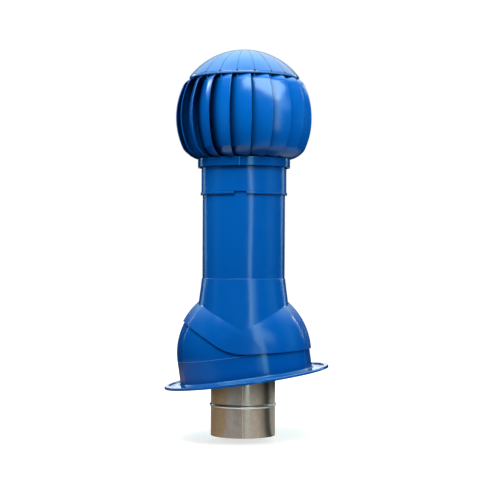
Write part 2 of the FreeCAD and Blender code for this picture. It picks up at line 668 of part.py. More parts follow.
def build_axle():
    """Stepped axle with a groove for the retaining ring."""
    body = new_body("axle")
    groove = less(dim("axle_radius"), dim("ring_depth"))
    sketch = new_sketch(body)
    outline(sketch, [
        ("0", AXLE_FOOT),
        (dim("axle_radius"), AXLE_FOOT),
        (dim("axle_radius"), BOSS_TOP),
        (dim("axle_shoulder_radius"), BOSS_TOP),
        (dim("axle_shoulder_radius"), LOWER_BEARING_FOOT),
        (dim("axle_radius"), LOWER_BEARING_FOOT),
        (dim("axle_radius"), UPPER_BEARING_TOP),
        (groove, UPPER_BEARING_TOP),
        (groove, RETAINER_TOP),
        (dim("axle_radius"), RETAINER_TOP),
        (dim("axle_radius"), AXLE_TOP),
        ("0", AXLE_TOP),
    ])
    turned(body, sketch)
    return body


def build_axle_nut():
    """Hexagon nut under the boss."""
    body = new_body("axle_nut")
    corner = f"({dim('nut_across_flats')} / sqrt(3))"
    sketch = new_sketch(body, "XY_Plane", lift=NUT_FOOT)
    sides = 6
    outline(sketch, [polar(corner, f"({FULL_TURN} * {index} / {sides})") for index in range(sides)])
    raised(body, sketch, dim("nut_height"))
    bore = new_sketch(body)
    rectangle(bore, "0", RACE_BORE, NUT_FOOT, WASHER_FOOT)
    turned(body, bore, "PartDesign::Groove")
    return body


def build_axle_washer():
    """Washer between the boss and the nut."""
    return ring("axle_washer", RACE_BORE, dim("washer_radius"), WASHER_FOOT, BOSS_FOOT)


def build_axle_retaining_ring():
    """Open ring in the axle's groove, over the upper bearing."""
    body = new_body("axle_retaining_ring")
    inner = total(less(dim("axle_radius"), dim("ring_depth")), dim("axle_fit"))
    sketch = new_sketch(body)
    rectangle(sketch, inner, total(dim("axle_radius"), dim("ring_reach")), UPPER_BEARING_TOP, RETAINER_TOP)
    turned(body, sketch, angle=less(FULL_TURN, dim("ring_opening")))
    return body


def build_race(label, foot, inner, outer):
    """A bearing race with a groove for the balls."""
    body = ring(label, inner, outer, foot, total(foot, dim("bearing_width")))
    groove = new_sketch(body)
    level = total(foot, f"({dim('bearing_width')} / 2)")
    circle(groove, total(dim("ball_radius"), dim("ball_play")), BALL_CIRCLE, level)
    turned(body, groove, "PartDesign::Groove")
    return body


def build_balls(label, foot):
    """The balls of one bearing, as separate solids."""
    body = new_body(label)
    sketch = new_sketch(body)
    half_ball(sketch, dim("ball_radius"), BALL_CIRCLE, total(foot, f"({dim('bearing_width')} / 2)"), "0")
    ball = turned(body, sketch)
    spread(body, [ball], dim("ball_count"))
    return body


def build_bearing(place, foot):
    """One ball bearing: its inner race stands with the axle, the rest turns."""
    build_race(f"{place}_bearing_inner_race", foot, RACE_BORE, INNER_RACE_RADIUS)
    build_race(f"{place}_bearing_outer_race", foot, OUTER_RACE_BORE, dim("bearing_radius"))
    build_balls(f"{place}_bearing_balls", foot)


def build_spacers():
    """Spacers between the bearings, and the plug that closes the hub."""
    ring("bearing_spacer", RACE_BORE, total(RACE_BORE, dim("spacer_wall")),
         LOWER_BEARING_TOP, UPPER_BEARING_FOOT)
    ring("hub_sleeve", less(dim("bearing_radius"), dim("spacer_wall")), dim("bearing_radius"),
         LOWER_BEARING_TOP, UPPER_BEARING_FOOT)
    ring("hub_plug", total(dim("axle_shoulder_radius"), dim("axle_headroom")), dim("bearing_radius"),
         HUB_FOOT, LOWER_BEARING_FOOT)


def build_rotor_ring():
    """Ring that carries the vanes' feet, with a skirt over the collar."""
    body = new_body("rotor_ring")
    skirt_foot = less(RING_TOP, dim("ring_skirt_height"))
    skirt_bore = less(RING_RADIUS, dim("ring_skirt_wall"))
    opening = less(RING_RADIUS, dim("ring_width"))
    sketch = new_sketch(body)
    outline(sketch, [
        (opening, RING_FOOT),
        (skirt_bore, RING_FOOT),
        (skirt_bore, skirt_foot),
        (RING_RADIUS, skirt_foot),
        (RING_RADIUS, RING_TOP),
        (opening, RING_TOP),
    ])
    turned(body, sketch)
    hole = new_sketch(body, "XY_Plane", lift=RING_TOP)
    circle(hole, total(dim("peg_radius"), dim("peg_fit")),
           *polar(FOOT_PEG_CIRCLE, less(dim("vane_phase"), dim("peg_lag"))))
    cut = raised(body, hole, f"(2 * {dim('ring_plate')})", "PartDesign::Pocket")
    spread(body, [cut], dim("vane_count"))
    rounded(body, dim("ring_round"), lambda edge: is_ring(edge, RING_RADIUS, RING_TOP))
    return body


def vane_section(body, share):
    """One upright section of a vane, at a share of the way from its outer to its inner edge."""
    sketch = new_sketch(body, turn=f"(-{dim('vane_sweep')} * {share})", turn_axis=Vector(0, 1, 0))
    scale = f"(1 - {dim('vane_narrowing')} * {share})"
    half = f"({less(dim('head_height'), dim('lower_turn_height'), dim('upper_turn_height'))} / 2)"
    wall = dim("vane_wall")
    drop = f"sqrt({dim('head_arc')}^2 - {half}^2)"
    bulge = f"(({dim('head_arc')} - {drop}) * {scale})"
    main = f"(({half}^2 + {bulge}^2) / (2 * {bulge}))"
    end_radius = f"({HEAD_RADIUS} * {scale} - {bulge})"
    inset_out = f"({wall} * {drop} / {dim('head_arc')})"
    inset_up = f"({wall} * {half} / {dim('head_arc')})"
    low = total(RING_TOP, dim("lower_turn_height"))
    high = less(VANE_TOP, dim("upper_turn_height"))
    foot = f"({VANE_FOOT_RADIUS} * {scale})"
    head = f"({VANE_HEAD_RADIUS} * {scale})"
    outline(sketch, [
        (foot, VANE_FOOT),
        (end_radius, low),
        (end_radius, high),
        (head, VANE_TOP),
        (less(head, VANE_TIP), VANE_TOP),
        (less(end_radius, inset_out), less(high, inset_up)),
        (less(end_radius, inset_out), total(low, inset_up)),
        (less(foot, VANE_TIP), VANE_FOOT),
    ], {
        0: (dim("lower_turn_arc"), 1),
        1: (main, 1),
        2: (dim("upper_turn_arc"), 1),
        4: (less(dim("upper_turn_arc"), wall), -1),
        5: (less(main, wall), -1),
        6: (less(dim("lower_turn_arc"), wall), -1),
    })
    return sketch


def peg(body, circle_radius, low, high):
    """A round peg on the vane."""
    sketch = new_sketch(body, "XY_Plane", lift=low)
    circle(sketch, dim("peg_radius"), *polar(circle_radius, f"(-{dim('peg_lag')})"))
    raised(body, sketch, less(high, low))


def build_vane(label):
    """One curved vane, its outer edge above +X, with a peg at its head and foot."""
    body = new_body(label)
    steps = 3
    sections = [vane_section(body, f"({step} / {steps})") for step in range(steps + 1)]
    blade = body.newObject("PartDesign::AdditiveLoft", "Blade")
    blade.Profile = sections[0]
    blade.Sections = sections[1:]
    peg(body, PEG_CIRCLE, less(VANE_TOP, dim("peg_root")), less(SEAT_TOP, dim("peg_recess")))
    peg(body, FOOT_PEG_CIRCLE, less(RING_TOP, dim("foot_peg_length")),
        total(VANE_FOOT, dim("foot_peg_root")))
    return body


def build_vanes():
    """The first vane, and copies of it turned about the axis."""
    first = build_vane("vane_01")
    first.setExpression("Placement.Rotation.Angle", dim("vane_phase"))
    doc.recompute()
    for index in range(1, int(number(dim("vane_count")))):
        body = new_body(f"vane_{index + 1:02d}")
        copy = doc.addObject("PartDesign::FeatureBase", "Copy")
        copy.BaseFeature = first.Tip
        copy.Placement = first.Tip.Placement
        body.Group = [copy]
        body.Tip = copy
        turn = f"({FULL_TURN} * {index} / {dim('vane_count')})"
        body.setExpression("Placement.Rotation.Angle", total(dim("vane_phase"), turn))


def dome_points(inset):
    """Where the dome's crown meets its shoulder and the shoulder its rim, drawn in by an inset."""
    crown = less(dim("dome_arc"), inset)
    junction = (
        f"({crown} * {SHOULDER_REACH} / {CROWN_SPAN})",
        f"({DOME_CENTRE} + {crown} * {CROWN_RISE} / {CROWN_SPAN})",
    )
    return junction, (less(dim("dome_radius"), inset), RIM_TOP)


def crown_point(radius, inset):
    """The point of the dome's crown at a radius, drawn in by an inset."""
    return radius, f"({DOME_CENTRE} + sqrt(({dim('dome_arc')} - {inset})^2 - {radius}^2))"


def dome_arcs(inset, side):
    """The crown's and the shoulder's arcs, drawn in by an inset."""
    return (less(dim("dome_arc"), inset), side), (less(dim("dome_shoulder_arc"), inset), side)


def build_dome_cap():
    """Domed cap with radial seams that end in dots, a rim with the vanes' seat, and the bearing hub."""
    body = new_body("dome_cap")
    recess = total(dim("axle_radius"), dim("ring_reach"), dim("axle_headroom"))
    outer_junction, outer_rim = dome_points("0")
    inner_junction, inner_rim = dome_points(dim("dome_wall"))
    outer_crown, outer_shoulder = dome_arcs("0", -1)
    inner_crown, inner_shoulder = dome_arcs(dim("dome_wall"), 1)
    profile = new_sketch(body)
    outline(profile, [
        ("0", DOME_APEX),
        outer_junction,
        outer_rim,
        (dim("dome_radius"), SEAT_FOOT),
        (dim("seat_inner_radius"), SEAT_FOOT),
        (dim("seat_inner_radius"), SEAT_TOP),
        (inner_rim[0], SEAT_TOP),
        inner_rim,
        inner_junction,
        crown_point(HUB_RADIUS, dim("dome_wall")),
        (HUB_RADIUS, HUB_FOOT),
        (HUB_BORE, HUB_FOOT),
        (HUB_BORE, UPPER_BEARING_TOP),
        (recess, UPPER_BEARING_TOP),
        (recess, HUB_TOP),
        ("0", HUB_TOP),
    ], {0: outer_crown, 1: outer_shoulder, 7: inner_shoulder, 8: inner_crown})
    turned(body, profile)
    rounded(body, dim("dome_rim_round"), lambda edge: is_ring(edge, dim("dome_radius"), SEAT_FOOT))
    # Radial seams, each over the pegs of one vane
    seam_turn = less(dim("vane_phase"), dim("peg_lag"))
    proud = f"(-{dim('seam_depth')})"
    low_junction, low_end = dome_points(dim("seam_depth"))
    high_junction, high_end = dome_points(proud)
    low_crown, low_shoulder = dome_arcs(dim("seam_depth"), -1)
    high_crown, high_shoulder = dome_arcs(proud, 1)
    seam = new_sketch(body, turn=less(seam_turn, f"({dim('seam_angle')} / 2)"), turn_axis=Vector(0, 1, 0))
    outline(seam, [
        crown_point(dim("seam_start"), dim("seam_depth")),
        low_junction,
        low_end,
        high_end,
        high_junction,
        crown_point(dim("seam_start"), proud),
    ], {0: low_crown, 1: low_shoulder, 3: high_shoulder, 4: high_crown})
    groove = turned(body, seam, "PartDesign::Groove", dim("seam_angle"))
    # A round dot pressed into the lower end of each seam
    dot_reach = f"({SHOULDER_REACH} + sqrt({dim('dome_shoulder_arc')}^2 - {dim('dot_lift')}^2))"
    across, back = polar(dot_reach, seam_turn)
    dot = new_sketch(body)
    half_ball(dot, dim("dot_radius"), across, total(RIM_TOP, dim("dot_lift")), f"(-{back})")
    dent = turned(body, dot, "PartDesign::Groove")
    spread(body, [groove, dent], dim("vane_count"))
    hole = new_sketch(body, "XY_Plane", lift=SEAT_FOOT)
    circle(hole, total(dim("peg_radius"), dim("peg_fit")), *polar(PEG_CIRCLE, seam_turn))
    cut = raised(body, hole, dim("seat_plate"), "PartDesign::Pocket", reverse=True)
    spread(body, [cut], dim("vane_count"))
    return body


def check_everything():
    """Stops if any object failed or any sub-part has no valid shape."""
    failed = [item.Name for item in doc.Objects if "Invalid" in item.State or "Error" in item.State]
    if failed:
        raise RuntimeError(f"failed objects: {failed}")
    for part in SUB_PARTS:
        if part.Shape.isNull() or not part.Shape.isValid() or not part.Shape.Solids:
            raise RuntimeError(f"no valid shape: {part.Label}")


def main():
    """Builds every sub-part and writes its file."""
    build_roof_base()
    build_outlet_housing()
    build_inner_pipe()
    build_insulation_sleeve()
    build_turbine_collar()
    build_axle()
    build_axle_nut()
    build_axle_washer()
    build_axle_retaining_ring()
    build_bearing("lower", LOWER_BEARING_FOOT)
    build_bearing("upper", UPPER_BEARING_FOOT)
    build_spacers()
    build_rotor_ring()
    build_vanes()
    build_dome_cap()
    doc.recompute()
    check_everything()
    os.makedirs("parts", exist_ok=True)
    for part in SUB_PARTS:
        part.Shape.exportStep(os.path.join("parts", part.Label + ".step"))


if __name__ == "__main__":
    main()
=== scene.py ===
"""Looks of the rotating chimney cowl: plastic, galvanised pipe with its seam, floor, light and camera."""
import math

import bmesh
import bpy
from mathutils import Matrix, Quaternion, Vector


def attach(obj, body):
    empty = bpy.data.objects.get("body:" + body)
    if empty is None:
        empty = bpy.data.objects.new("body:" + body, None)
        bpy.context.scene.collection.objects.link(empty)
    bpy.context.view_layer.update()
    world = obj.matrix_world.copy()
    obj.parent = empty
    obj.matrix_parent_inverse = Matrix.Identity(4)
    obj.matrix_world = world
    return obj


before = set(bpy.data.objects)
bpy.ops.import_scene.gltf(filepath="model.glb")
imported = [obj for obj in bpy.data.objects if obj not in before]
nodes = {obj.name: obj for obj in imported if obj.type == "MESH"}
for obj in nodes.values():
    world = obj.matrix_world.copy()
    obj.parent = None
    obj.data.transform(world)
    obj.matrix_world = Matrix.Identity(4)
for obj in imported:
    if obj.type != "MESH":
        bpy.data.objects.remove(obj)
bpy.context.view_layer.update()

# Places on the object, in metres and radians
PITCH_LEVEL = 0.048472
BASE_TILT = math.radians(8.0)
PIPE_RADIUS = 0.0625
PIPE_FOOT = -0.110
PIPE_SEAM_TURN = math.radians(-92.4)
PIPE_SEAM_HALF = math.radians(3.0)
BEAD_LEVEL = -0.0505
BEAD_HALF = 0.0030
BEAD_PROUD = 0.0022
RING_LINE_TURN = math.radians(5.6)
DOME_SEAM_TURN = math.radians(-7.5)
DOME_SEAM_STEP = math.radians(18.0)
DOT_REACH = 0.106
DOT_LEVEL = 0.5831
RIM_LEVEL = 0.5795

# The floor lies just under the pipe's lowest point at the end of the pitch range
FLOOR_LEVEL = -0.1214
FLOOR_HALF = 14.0

# Colours of the plastic, and tints of its gloss
DEEP_BLUE = (0.0, 0.067, 0.318)
BRIGHT_BLUE = (0.0, 0.086, 0.392)
DUST = (0.35, 0.45, 0.62)
# A pale line colour; on the dome's rim it is a painted highlight
PALE_LINE = (0.25, 0.42, 0.75)
# Painted shade for the crevices and for the dome's small dots
CREVICE_SHADE = (0.0, 0.004, 0.022)
COOL_SHEEN = (0.50, 0.92, 1.0)
PALE_SHEEN = (0.78, 0.94, 1.0)
WHITE_SHEEN = (1.0, 1.0, 1.0)

# How slow surface waves are stretched
EVEN = (1.0, 1.0, 1.0)
UPRIGHT = (1.0, 1.0, 0.22)

# Colours of the studio
BLACK = (0.0, 0.0, 0.0)
WHITE = (1.0, 1.0, 1.0)
COOL_LIGHT = (0.35, 1.0, 1.0)
STRIP_LIGHT = (0.72, 1.0, 0.88)
WINDOW_LIGHT = (0.85, 1.0, 0.9)
DIM_ROOM = (0.01, 0.02, 0.035)
SKY_LEFT = (1.6, 2.1, 1.8)
SKY_RIGHT = (2.3, 2.6, 2.0)
SKY_TOP = (2.6, 4.2, 3.8)
LAMP = (1.8, 2.7, 2.5)
STRIP_FOOT = (1.0, 1.8, 1.9)
STRIP = (10.0, 12.0, 12.5)
FAR_BEHIND = (1.4, 1.6, 1.7)

# The ground in the gloss, all round from behind over the left, the front and the right
GROUND_ROUND = [
    (0.16, (0.30, 0.21, 0.12)),
    (0.33, (0.46, 0.34, 0.21)),
    (0.36, (0.46, 0.43, 0.40)),
    (0.49, (0.43, 0.40, 0.36)),
    (0.53, (0.64, 0.59, 0.53)),
    (0.63, (0.62, 0.55, 0.45)),
    (0.68, (0.42, 0.37, 0.30)),
    (0.735, (0.09, 0.09, 0.08)),
    (0.775, (0.09, 0.09, 0.08)),
    (0.81, (0.42, 0.40, 0.35)),
]


class Tree:
    """A node tree with short calls for adding and joining nodes."""

    def __init__(self, owner):
        owner.use_nodes = True
        self.tree = owner.node_tree
        self.tree.nodes.clear()

    def add(self, kind, inputs=None, **settings):
        """A node with its settings, and its inputs as values or links."""
        item = self.tree.nodes.new(kind)
        for name, value in settings.items():
            setattr(item, name, value)
        for key, value in (inputs or {}).items():
            socket = item.inputs[key]
            if isinstance(value, bpy.types.NodeSocket):
                self.tree.links.new(value, socket)
            elif socket.type == "RGBA":
                socket.default_value = (*value, 1.0)
            else:
                socket.default_value = value
        return item

    def math(self, operation, first, second=0.0, third=0.0, clamp=False):
        """The result of a maths node."""
        inputs = {0: first, 1: second, 2: third}
        return self.add("ShaderNodeMath", inputs, operation=operation, use_clamp=clamp).outputs[0]

    def product(self, first, *others):
        """Values multiplied together."""
        for other in others:
            first = self.math("MULTIPLY", first, other)
        return first

    def line(self, value, slope, start):
        """A value times a slope, and a start added."""
        return self.math("MULTIPLY_ADD", value, slope, start)

    def remap(self, value, low, high, to_low=0.0, to_high=1.0):
        """A value carried straight from one range to another, and held inside it."""
        inputs = {0: value, 1: low, 2: high, 3: to_low, 4: to_high}
        return self.add("ShaderNodeMapRange", inputs, interpolation_type="LINEAR").outputs[0]

    def ease(self, value, low, high, to_low=0.0, to_high=1.0):
        """A value carried softly from one range to another, and held inside it."""
        inputs = {0: value, 1: low, 2: high, 3: to_low, 4: to_high}
        return self.add("ShaderNodeMapRange", inputs, interpolation_type="SMOOTHSTEP").outputs[0]

    def mix(self, share, first, second, blend="MIX"):
        """Two colours mixed."""
        inputs = {0: share, 6: first, 7: second}
        return self.add("ShaderNodeMix", inputs, data_type="RGBA", blend_type=blend).outputs[2]

    def noise(self, vector, scale, detail, stretch=EVEN):
        """Noise over a vector, stretched along the axes."""
        vector = self.add("ShaderNodeVectorMath", {0: vector, 1: stretch}, operation="MULTIPLY").outputs[0]
        inputs = {"Vector": vector, "Scale": scale, "Detail": detail}
        return self.add("ShaderNodeTexNoise", inputs).outputs["Fac"]

    def split(self, vector):
        """The three parts of a vector."""
        parts = self.add("ShaderNodeSeparateXYZ", {0: vector}).outputs
        return parts["X"], parts["Y"], parts["Z"]

    def length(self, vector):
        """The length of a vector."""
        return self.add("ShaderNodeVectorMath", {0: vector}, operation="LENGTH").outputs["Value"]

    def ramp(self, value, stops):
        """A colour that runs through stops, each a place from nought to one and a colour."""
        item = self.add("ShaderNodeValToRGB", {0: value})
        elements = item.color_ramp.elements
        elements.remove(elements[1])
        for index, (place, colour) in enumerate(stops):
            element = elements[0] if index == 0 else elements.new(place)
            element.position = place
            element.color = (*colour, 1.0)
        return item.outputs[0]

    def bump(self, height, distance, rounding=None):
        """A surface normal roughened by a height, over edges rounded where asked."""
        inputs = {"Height": height, "Distance": distance}
        if rounding is not None:
            inputs["Normal"] = self.add("ShaderNodeBevel", {"Radius": rounding}, samples=4).outputs[0]
        return self.add("ShaderNodeBump", inputs).outputs[0]

    def switch(self, share, first, second):
        """Two shaders mixed."""
        return self.add("ShaderNodeMixShader", {0: share, 1: first, 2: second}).outputs[0]


def new_material(name):
    """A material, its tree, and the piece's own coordinates."""
    material = bpy.data.materials.new(name)
    tree = Tree(material)
    return material, tree, tree.add("ShaderNodeTexCoord").outputs["Object"]


def dress(tree, inputs):
    """The principled shader with its inputs, joined to the material's output."""
    shader = tree.add("ShaderNodeBsdfPrincipled", inputs)
    tree.add("ShaderNodeOutputMaterial", {0: shader.outputs[0]})


def line_mask(tree, distance, half_width):
    """One on a thin line where a signed distance is nought, and nought elsewhere."""
    return tree.ease(tree.math("ABSOLUTE", distance), half_width * 0.4, half_width, 1.0, 0.0)


def base_parting_line(tree, place):
    """Signed distance from the level where the drum meets the straight walls."""
    x, _, z = tree.split(place)
    above = tree.math("SUBTRACT", z, PITCH_LEVEL)
    return tree.line(above, math.cos(BASE_TILT), tree.product(x, -math.sin(BASE_TILT)))


def ring_parting_line(tree, place):
    """Signed distance from an upright plane, on the front of the rotor's ring only."""
    x, y, _ = tree.split(place)
    distance = tree.line(y, -math.sin(RING_LINE_TURN), tree.product(x, math.cos(RING_LINE_TURN)))
    return tree.math("ADD", distance, tree.math("GREATER_THAN", y, 0.0))


def dome_rim_highlight(tree, place):
    """Small near the level of the dome's rim, where a pale line is painted as a highlight."""
    _, _, z = tree.split(place)
    return tree.product(tree.math("SUBTRACT", z, RIM_LEVEL), 0.12)


def dome_dot_shade(tree, place):
    """One at the small round mark at the lower end of each of the dome's seams, where the shade of the small
    hole is painted.
    """
    x, y, z = tree.split(place)
    turn = tree.math("SUBTRACT", tree.math("ARCTAN2", y, x), DOME_SEAM_TURN)
    away = tree.math("PINGPONG", tree.math("ADD", turn, 4.0 * math.pi), DOME_SEAM_STEP / 2.0)
    across = tree.product(away, DOT_REACH)
    up = tree.math("SUBTRACT", z, DOT_LEVEL)
    squares = tree.line(across, across, tree.product(up, up))
    return tree.ease(tree.math("SQRT", squares), 0.0014, 0.0021, 1.0, 0.0)


def blue_plastic(name, painted_brightness, roughness, waves, sheen, line=None, dots=None):
    """Glossy moulded plastic: colour drift, fine grain, slow sink waves, pale lines, and painted shade in
    the crevices and dots, at a brightness painted per copy.
    """
    material, tree, place = new_material(name)
    drift = tree.noise(place, 7.0, 3.0)
    speck = tree.noise(place, 420.0, 2.0)
    share = tree.math("MULTIPLY_ADD", speck, 0.12, tree.line(drift, 0.9, -0.05), clamp=True)
    # Each piece's copy of the blue is painted lighter or darker, standing in for how the light falls on it
    deep, bright = [tuple(painted_brightness * part for part in shade) for shade in (DEEP_BLUE, BRIGHT_BLUE)]
    colour = tree.mix(share, deep, bright)
    dust = tree.remap(tree.noise(place, 38.0, 5.0), 0.56, 0.8, 0.0, 0.008)
    colour = tree.mix(dust, colour, DUST)
    wave_scale, wave_stretch, wave_height = waves
    height = tree.product(tree.noise(place, wave_scale, 1.0, wave_stretch), wave_height)
    height = tree.line(tree.noise(place, 1500.0, 2.0), 0.000008, height)
    # Paler along a thin line, with a small ridge: the parting lines, and the dome's rim, where the pale line
    # is a painted highlight
    if line is not None:
        mask = line_mask(tree, line(tree, place), 0.00045)
        colour = tree.mix(tree.product(mask, 0.35), colour, PALE_LINE)
        height = tree.line(mask, 0.00006, height)
    if dots is None:
        # Painted shade in the crevices between pieces, darker where ambient occlusion finds them, with the
        # gloss dimmed there too
        clear = tree.add("ShaderNodeAmbientOcclusion", {"Distance": 0.03}, samples=6).outputs["AO"]
        shade = tree.remap(clear, 0.22, 0.80, 0.08, 1.0)
    else:
        # Painted shade in the small dots on the dome, with the gloss dimmed there too
        shade = tree.remap(dots(tree, place), 0.0, 1.0, 1.0, 0.12)
    dress(tree, {
        "Base Color": tree.mix(shade, CREVICE_SHADE, colour),
        "Roughness": tree.remap(tree.noise(place, 55.0, 4.0), 0.3, 0.75, roughness - 0.03, roughness + 0.04),
        "Specular IOR Level": tree.product(shade, 0.5),
        "Specular Tint": sheen,
        "IOR": 1.5,
        "Normal": tree.bump(height, 1.0, rounding=0.0012),
    })
    return material


def galvanised_steel(name, tint):
    """Rolled zinc-coated sheet: faint spangles, upright rolling streaks, dull stains and slow dents."""
    material, tree, place = new_material(name)
    spangle = tree.add("ShaderNodeTexVoronoi", {"Vector": place, "Scale": 160.0}).outputs["Color"]
    spangle = tree.add("ShaderNodeSeparateColor", {0: spangle}).outputs[0]
    streak = tree.noise(place, 260.0, 3.0, (1.0, 1.0, 0.05))
    stain = tree.remap(tree.noise(place, 22.0, 4.0), 0.54, 0.76, 0.0, 0.3)
    colour = tree.mix(tree.product(spangle, 0.3), tint, tuple(0.86 * part for part in tint))
    colour = tree.mix(tree.product(streak, 0.2), colour, (0.46, 0.44, 0.41))
    colour = tree.mix(stain, colour, (0.50, 0.45, 0.38))
    rough = tree.line(spangle, 0.05, tree.line(streak, 0.08, 0.10))
    # The rolled bead is stretched and dull, and its pale highlight is painted into its colour
    _, _, level = tree.split(place)
    bead = line_mask(tree, tree.math("SUBTRACT", level, BEAD_LEVEL), 2.0 * BEAD_HALF)
    dents = tree.noise(place, 14.0, 1.0, (1.0, 1.0, 0.35))
    height = tree.line(dents, 0.0008, tree.product(streak, 0.000004))
    dress(tree, {
        "Base Color": tree.mix(tree.product(bead, 0.7), colour, (0.90, 0.88, 0.84)),
        "Roughness": tree.line(bead, 0.28, rough),
        "Metallic": 1.0,
        "Normal": tree.bump(height, 1.0, rounding=0.0004),
    })
    return material


def turned_steel(name):
    """Bright turned steel with fine rings round its axis."""
    material, tree, place = new_material(name)
    rings = tree.noise(place, 40.0, 4.0, (1.0, 1.0, 60.0))
    dress(tree, {
        "Base Color": tree.mix(rings, (0.34, 0.34, 0.35), (0.62, 0.62, 0.64)),
        "Roughness": tree.line(rings, 0.2, 0.2),
        "Metallic": 1.0,
        "Normal": tree.bump(rings, 0.00004),
    })
    return material


def foam(name):
    """Pale closed-cell foam."""
    material, tree, place = new_material(name)
    cells = tree.add("ShaderNodeTexVoronoi", {"Vector": place, "Scale": 380.0}).outputs["Distance"]
    dress(tree, {
        "Base Color": tree.mix(cells, (0.62, 0.60, 0.54), (0.80, 0.79, 0.74)),
        "Roughness": tree.line(cells, 0.2, 0.75),
        "Normal": tree.bump(cells, 0.0008),
    })
    return material


def black_plastic(name):
    """Dull black plastic with a fine grain."""
    material, tree, place = new_material(name)
    grain = tree.noise(place, 900.0, 3.0)
    dress(tree, {
        "Base Color": tree.mix(grain, (0.012, 0.012, 0.013), (0.03, 0.03, 0.032)),
        "Roughness": tree.line(grain, 0.15, 0.45),
        "Normal": tree.bump(grain, 0.00005),
    })
    return material


# The vanes' copy is painted lighter as lit, the base's and the ring's copies darker as shaded
tube_blue = blue_plastic("tube_blue", painted_brightness=1.01, roughness=0.19, waves=(15.0, UPRIGHT, 0.0050),
                         sheen=PALE_SHEEN)
base_blue = blue_plastic("base_blue", painted_brightness=0.92, roughness=0.12, waves=(14.0, EVEN, 0.0010),
                         sheen=COOL_SHEEN, line=base_parting_line)
vane_blue = blue_plastic("vane_blue", painted_brightness=1.12, roughness=0.20, waves=(20.0, EVEN, 0.0006),
                         sheen=PALE_SHEEN)
ring_blue = blue_plastic("ring_blue", painted_brightness=0.80, roughness=0.14, waves=(20.0, UPRIGHT, 0.0006),
                         sheen=COOL_SHEEN, line=ring_parting_line)
dome_blue = blue_plastic("dome_blue", painted_brightness=1.00, roughness=0.16, waves=(22.0, EVEN, 0.0010),
                         sheen=WHITE_SHEEN, line=dome_rim_highlight, dots=dome_dot_shade)
pipe_steel = galvanised_steel("pipe_steel", (0.62, 0.61, 0.59))
bright_steel = turned_steel("bright_steel")

FINISHES = {
    "outlet_housing": tube_blue,
    "turbine_collar": tube_blue,
    "roof_base": base_blue,
    "rotor_ring": ring_blue,
    "dome_cap": dome_blue,
    "inner_pipe": pipe_steel,
    "insulation_sleeve": foam("foam"),
    "hub_plug": black_plastic("black_plastic"),
}

for name, piece in nodes.items():
    finish = FINISHES.get(name, vane_blue if name.startswith("vane_") else bright_steel)
    if not piece.data.materials:
        piece.data.materials.append(finish)
    for slot in piece.material_slots:
        slot.link = "OBJECT"
        slot.material = finish


def pipe_reach(level):
    """The pipe's outer radius at a level, with its bead."""
    share = (level - BEAD_LEVEL) / BEAD_HALF
    return PIPE_RADIUS + BEAD_PROUD * max(0.0, 1.0 - share * share)


def pipe_seam():
    """The flattened lock seam up the front of the pipe, a thin strip that follows the bead."""
    # The strip's section: shares of its half width, and how proud it stands there
    section = [(-1.0, 0.0), (-0.86, 0.00045), (-0.3, 0.0005), (0.3, 0.0005), (0.86, 0.00045), (1.0, 0.0)]
    sunk = 0.0001
    levels = [PIPE_FOOT + 0.0003, -0.1085, -0.09, -0.07, -0.0545]
    levels += [BEAD_LEVEL + BEAD_HALF * step / 6 for step in range(-6, 7)]
    levels += [-0.046, -0.03, 0.0, 0.05, 0.10]
    mesh = bmesh.new()
    rows = []
    for level in levels:
        row = []
        for share, proud in section:
            angle = PIPE_SEAM_TURN + PIPE_SEAM_HALF * share
            radius = pipe_reach(level) + proud - sunk
            row.append(mesh.verts.new((radius * math.cos(angle), radius * math.sin(angle), level)))
        rows.append(row)
    for low, high in zip(rows, rows[1:]):
        for index in range(len(section) - 1):
            mesh.faces.new((low[index], low[index + 1], high[index + 1], high[index]))
    data = bpy.data.meshes.new("pipe_seam")
    mesh.to_mesh(data)
    mesh.free()
    for face in data.polygons:
        face.use_smooth = True
    piece = bpy.data.objects.new("pipe_seam", data)
    bpy.context.scene.collection.objects.link(piece)
    data.materials.append(pipe_steel)
    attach(piece, "housing")


